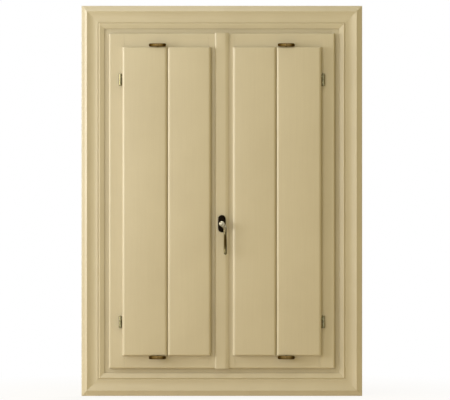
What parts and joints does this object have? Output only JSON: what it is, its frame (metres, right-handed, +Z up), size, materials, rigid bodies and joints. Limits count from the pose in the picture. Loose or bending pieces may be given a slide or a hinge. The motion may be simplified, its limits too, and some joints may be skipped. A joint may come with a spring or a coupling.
{
  "type": "casement window with inside shutters",
  "caption": "Two-sash wooden casement window in a moulded casing, with boarded inside shutters held by turn buttons and a lever handle that drives hidden lock rods.",
  "frame": {"origin": "on the wall plane, at the middle of the casing's bottom edge", "axes": "+X to the right seen from the room, +Y from the room into the wall, +Z up"},
  "size_m": [1.01, 0.186, 1.404],
  "materials": {
    "cream_paint": "satin cream paint on wood",
    "clear_glass": "clear float glass",
    "spacer_bar": "matt spacer bar",
    "zinc_steel": "zinc plated steel",
    "brown_bronze": "aged bronze",
    "dark_bronze": "dark polished bronze",
    "seal_rubber": "matt rubber",
    "mill_aluminium": "mill finish",
    "bush_plastic": "moulded bearing plastic"
  },
  "bodies": {
    "frame": {"casing_bottom": "cream_paint", "casing_left": "cream_paint", "casing_right": "cream_paint", "casing_top": "cream_paint", "drip_flashing": "mill_aluminium", "frame_head": "cream_paint", "frame_jamb_left": "cream_paint", "frame_jamb_right": "cream_paint", "frame_seal": "seal_rubber", "frame_sill": "cream_paint", "head_keep": "zinc_steel", "left_pivot_brackets": "zinc_steel", "right_pivot_brackets": "zinc_steel", "sill_keep": "zinc_steel"},
    "right_sash": {"right_astragal": "cream_paint", "right_bottom_rail": "cream_paint", "right_button_posts": "brown_bronze", "right_button_screws": "brown_bronze", "right_gear_case": "zinc_steel", "right_gear_faceplate": "zinc_steel", "right_glass_panes": "clear_glass", "right_glass_spacer": "spacer_bar", "right_glazing_beads": "cream_paint", "right_hinge_pins": "zinc_steel", "right_hinge_stile": "cream_paint", "right_meeting_stile": "cream_paint", "right_pivot_bushes": "bush_plastic", "right_rosette_base": "zinc_steel", "right_rosette_cover": "dark_bronze", "right_top_rail": "cream_paint"},
    "left_sash": {"left_bottom_rail": "cream_paint", "left_button_posts": "brown_bronze", "left_button_screws": "brown_bronze", "left_cover_strip": "cream_paint", "left_glass_panes": "clear_glass", "left_glass_spacer": "spacer_bar", "left_glazing_beads": "cream_paint", "left_hinge_pins": "zinc_steel", "left_hinge_stile": "cream_paint", "left_meeting_stile": "cream_paint", "left_pivot_bushes": "bush_plastic", "left_top_rail": "cream_paint"},
    "right_shutter": {"right_hinge_knuckles": "zinc_steel", "right_inner_board": "cream_paint", "right_outer_board": "cream_paint", "right_shutter_ledges": "cream_paint"},
    "left_shutter": {"left_hinge_knuckles": "zinc_steel", "left_inner_board": "cream_paint", "left_outer_board": "cream_paint", "left_shutter_ledges": "cream_paint"},
    "handle": {"handle_lever": "dark_bronze", "handle_pinion": "zinc_steel", "handle_spindle": "zinc_steel"},
    "upper_rod": {"upper_rod": "zinc_steel"},
    "lower_rod": {"lower_rod": "zinc_steel"},
    "left_lower_button": {"left_lower_button": "brown_bronze"},
    "left_upper_button": {"left_upper_button": "brown_bronze"},
    "right_lower_button": {"right_lower_button": "brown_bronze"},
    "right_upper_button": {"right_upper_button": "brown_bronze"}
  },
  "joints": [
    {"name": "right_sash_swing", "type": "hinge", "parent": "frame", "child": "right_sash", "pos_m": [0.4, -0.011, 0.702], "axis": [0, 0, 1], "range_deg": [0, 90]},
    {"name": "left_sash_swing", "type": "hinge", "parent": "frame", "child": "left_sash", "pos_m": [-0.4, -0.011, 0.702], "axis": [0, 0, -1], "range_deg": [0, 90]},
    {"name": "right_shutter_swing", "type": "hinge", "parent": "right_sash", "child": "right_shutter", "pos_m": [0.3645, -0.0275, 0.702], "axis": [0, 0, 1], "range_deg": [0, 90]},
    {"name": "left_shutter_swing", "type": "hinge", "parent": "left_sash", "child": "left_shutter", "pos_m": [-0.3645, -0.0275, 0.702], "axis": [0, 0, -1], "range_deg": [0, 90]},
    {"name": "handle_turn", "type": "hinge", "parent": "right_sash", "child": "handle", "pos_m": [0, -0.05, 0.62], "axis": [0, -1, 0], "range_deg": [0, 90]},
    {"name": "upper_rod_slide", "type": "slide", "parent": "right_sash", "child": "upper_rod", "axis": [0, 0, 1], "range_m": [0, 0.013]},
    {"name": "lower_rod_slide", "type": "slide", "parent": "right_sash", "child": "lower_rod", "axis": [0, 0, -1], "range_m": [0, 0.013]},
    {"name": "right_upper_button_turn", "type": "hinge", "parent": "right_sash", "child": "right_upper_button", "pos_m": [0.231, -0.047, 1.261], "axis": [0, 1, 0], "range_deg": [-90, 90]},
    {"name": "right_lower_button_turn", "type": "hinge", "parent": "right_sash", "child": "right_lower_button", "pos_m": [0.231, -0.047, 0.14], "axis": [0, 1, 0], "range_deg": [-90, 90]},
    {"name": "left_upper_button_turn", "type": "hinge", "parent": "left_sash", "child": "left_upper_button", "pos_m": [-0.231, -0.047, 1.261], "axis": [0, 1, 0], "range_deg": [-90, 90]},
    {"name": "left_lower_button_turn", "type": "hinge", "parent": "left_sash", "child": "left_lower_button", "pos_m": [-0.231, -0.047, 0.14], "axis": [0, 1, 0], "range_deg": [-90, 90]}
  ],
  "couplings": [
    {"joint": "left_sash_swing", "follows": "right_sash_swing", "ratio": 1},
    {"joint": "upper_rod_slide", "follows": "handle_turn", "m_per_rad": 0.00825},
    {"joint": "lower_rod_slide", "follows": "handle_turn", "m_per_rad": 0.00825}
  ]
}
